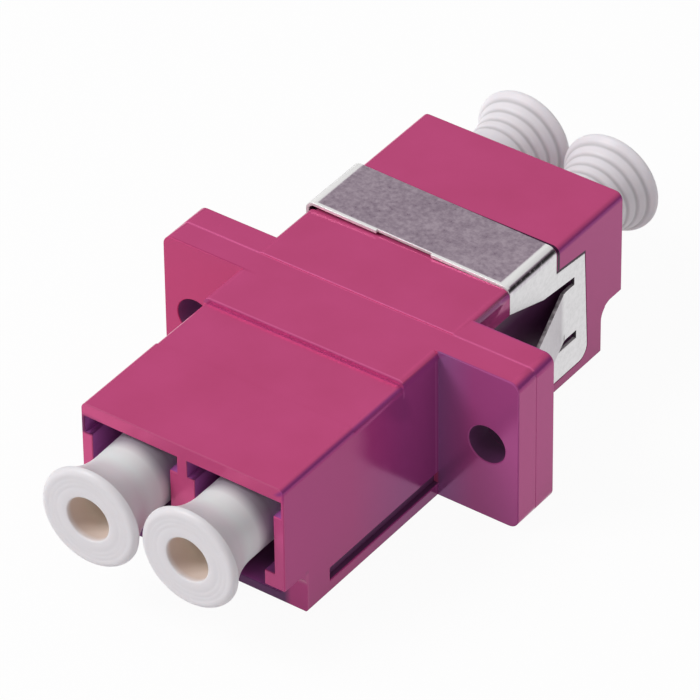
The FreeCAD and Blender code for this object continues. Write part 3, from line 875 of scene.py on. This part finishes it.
def makeCap(pieceName, seat):
    side, towards, face, lean = seat
    size = capSize
    points = capProfile(towards > 0)
    startClean()
    radius, along = points[0]
    bpy.ops.mesh.primitive_circle_add(
        vertices=size["sides"],
        radius=radius * mm,
        fill_type="TRIFAN",
        location=(0, along * mm, 0),
        rotation=(math.radians(90), 0, 0),
    )
    piece = bpy.context.object
    piece.name = pieceName
    bpy.ops.object.transform_apply(location=True, rotation=True, scale=True)
    bpy.ops.object.mode_set(mode="EDIT")
    edge = radius * mm / 2
    selectVertices(piece, lambda co: math.hypot(co.x, co.z) > edge)
    bpy.ops.mesh.select_mode(type="EDGE")
    for nextRadius, nextAlong in points[1:]:
        extrudeToRing(nextRadius, nextAlong, radius, along)
        radius, along = nextRadius, nextAlong
    bpy.ops.mesh.edge_face_add()
    bpy.ops.mesh.select_all(action="SELECT")
    bpy.ops.mesh.remove_doubles(threshold=size["merge"] * mm)
    bpy.ops.mesh.normals_make_consistent(inside=False)
    bpy.ops.object.mode_set(mode="OBJECT")
    depth = piece.data.attributes.new("boreDepth", "FLOAT", "POINT")
    groove = piece.data.attributes.new("grooveDepth", "FLOAT", "POINT")
    rise = size["flare"] - size["neck"]
    reach, bend, sweep = flareArc(size["rearFlare"], size["rearLand"], rise)
    for index, vertex in enumerate(piece.data.vertices):
        fromFace = (size["length"] * mm - vertex.co.y) / mm
        holeEdge = (size["hole"] + size["holeSlack"]) * mm
        inside = math.hypot(vertex.co.x, vertex.co.z) < holeEdge
        deepIn = inside and fromFace < size["holeDepth"] + size["floorSlack"]
        depth.data[index].value = min(fromFace / size["shadeDepth"], 1.0) if deepIn else 0.0
        along = size["rearFlare"] - fromFace
        if towards > 0 and 0 < along < reach and not inside:
            groove.data[index].value = grooveShare(math.asin(along / bend) / sweep)
    turn = side * towards * lean + 90 * (1 - towards)
    seated = (
        side * size["portPitch"] / 2 * mm,
        towards * (face - size["length"]) * mm,
        size["axisHeight"] * mm,
    )
    turned = Matrix.Rotation(math.radians(turn), 4, "Z")
    piece.matrix_world = Matrix.Translation(seated) @ turned
    makeActive(piece)
    bpy.ops.object.transform_apply(location=True, rotation=True, scale=True)
    bpy.ops.object.shade_smooth_by_angle(angle=math.radians(size["smoothAngle"]))
    piece.data.materials.append(milky)
    return piece


for nodeName, seat in capSeats.items():
    words = nodeName.split("_")[2:]
    cap = makeCap(words[0] + words[1].capitalize() + "Cap", seat)
    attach(cap, "cap_" + "_".join(words))
    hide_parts(nodeName)
print("dust caps are modelled")


studio = {
    "floorColour": (0.88, 0.86, 0.87),
    "floorWhite": 0.95,  # share of the floor that stays white in its shadow
    "roomLight": (0.45, 0.45, 0.45),
    "rightLight": (0.40, 0.38, 0.39),
    "shine": (  # what glossy faces see: height of the direction, colour
        (0.0, (0.30, 0.26, 0.29)),
        (0.12, (0.10, 0.08, 0.10)),
        (0.38, (0.14, 0.11, 0.13)),
        (0.56, (0.36, 0.28, 0.34)),
        (0.68, (0.36, 0.28, 0.34)),
        (0.74, (0.66, 0.60, 0.63)),
    ),
    "keyPlace": (-0.24, -0.24, 0.36),
    "keySize": 0.22,
    "keyPower": 1.4,
    "keyTarget": (0, 0, 0.005),
    "floorSize": 4.0,
    "floorDrop": 0.0002,
}


def makeFloor():
    startClean()
    bpy.ops.mesh.primitive_plane_add(
        size=studio["floorSize"], location=(0, 0, cadBounds[0][2] - studio["floorDrop"])
    )
    floor = bpy.context.object
    floor.name = "paleFloor"
    material = bpy.data.materials.new("whitePaper")
    material.use_nodes = True
    tree = material.node_tree
    tree.nodes.clear()
    output = addNode(tree, "ShaderNodeOutputMaterial")
    rays = addNode(tree, "ShaderNodeLightPath")
    seen = calculate(
        tree, "MAXIMUM", rays.outputs["Is Camera Ray"], rays.outputs["Is Glossy Ray"]
    )
    seen = calculate(tree, "MAXIMUM", seen, rays.outputs["Is Transmission Ray"])
    paper = addNode(tree, "ShaderNodeBsdfDiffuse")
    paper.inputs["Color"].default_value = (*studio["floorColour"], 1)
    white = addNode(tree, "ShaderNodeEmission")
    mix = addNode(tree, "ShaderNodeMixShader")
    tree.links.new(overlap(tree, seen, studio["floorWhite"]), mix.inputs["Fac"])
    tree.links.new(paper.outputs[0], mix.inputs[1])
    tree.links.new(white.outputs[0], mix.inputs[2])
    tree.links.new(mix.outputs[0], output.inputs["Surface"])
    floor.data.materials.append(material)


def makeRoom():
    world = bpy.data.worlds.new("softRoom")
    world.use_nodes = True
    tree = world.node_tree
    tree.nodes.clear()
    output = addNode(tree, "ShaderNodeOutputWorld")
    rays = addNode(tree, "ShaderNodeLightPath")
    place = addNode(tree, "ShaderNodeTexCoord")
    parts = addNode(tree, "ShaderNodeSeparateXYZ")
    tree.links.new(place.outputs["Generated"], parts.inputs[0])
    shine = addNode(tree, "ShaderNodeValToRGB")
    stops = shine.color_ramp.elements
    while len(stops) < len(studio["shine"]):
        stops.new(1.0)
    for stop, (height, colour) in zip(stops, studio["shine"]):
        stop.position = height
        stop.color = (*colour, 1)
    tree.links.new(parts.outputs["Z"], shine.inputs["Fac"])
    soft = mixColours(tree, parts.outputs["X"], studio["roomLight"], studio["rightLight"])
    room = mixColours(tree, rays.outputs["Is Glossy Ray"], soft, shine.outputs["Color"])
    backdrop = mixColours(tree, rays.outputs["Is Camera Ray"], room, (1, 1, 1))
    background = addNode(tree, "ShaderNodeBackground")
    tree.links.new(backdrop, background.inputs["Color"])
    tree.links.new(background.outputs[0], output.inputs["Surface"])
    bpy.context.scene.world = world


def addLamp(name, place, size, power):
    data = bpy.data.lights.new(name, "AREA")
    data.shape = "SQUARE"
    data.size = size
    data.energy = power
    lamp = bpy.data.objects.new(name, data)
    bpy.context.scene.collection.objects.link(lamp)
    lamp.location = place
    towards = Vector(studio["keyTarget"]) - Vector(place)
    lamp.rotation_euler = towards.to_track_quat("-Z", "Y").to_euler()


cameraSetting = {  # degrees and mm, solved from the photo
    "azimuth": 36.108,
    "elevation": 37.6427,
    "roll": -0.7272,
    "distance": 336.127,
    "right": 0.5974,
    "up": 1.3866,
    "target": (0, -1.63, 4.8),
    "lens": 345.24,
    "sensorWidth": 36.0,
    "clipStart": 0.01,
}


def makeCamera():
    setting = cameraSetting
    azimuth, elevation, roll = (
        math.radians(setting[name]) for name in ("azimuth", "elevation", "roll")
    )
    back = Vector(
        (
            math.sin(azimuth) * math.cos(elevation),
            -math.cos(azimuth) * math.cos(elevation),
            math.sin(elevation),
        )
    )
    level = Vector((math.cos(azimuth), math.sin(azimuth), 0))
    upright = back.cross(level)
    right = level * math.cos(roll) + upright * math.sin(roll)
    up = -level * math.sin(roll) + upright * math.cos(roll)
    place = (
        Vector(setting["target"])
        + back * setting["distance"]
        + right * setting["right"]
        + up * setting["up"]
    )
    data = bpy.data.cameras.new("photoCamera")
    data.lens = setting["lens"]
    data.sensor_width = setting["sensorWidth"]
    data.clip_start = setting["clipStart"]
    camera = bpy.data.objects.new("photoCamera", data)
    bpy.context.scene.collection.objects.link(camera)
    camera.matrix_world = Matrix(
        (
            (right.x, up.x, back.x, place.x * mm),
            (right.y, up.y, back.y, place.y * mm),
            (right.z, up.z, back.z, place.z * mm),
            (0, 0, 0, 1),
        )
    )
    bpy.context.scene.camera = camera


makeFloor()
makeRoom()
addLamp("keySoftbox", studio["keyPlace"], studio["keySize"], studio["keyPower"])
makeCamera()
bpy.context.scene.view_settings.view_transform = "Standard"
print("floor, light and camera are set")
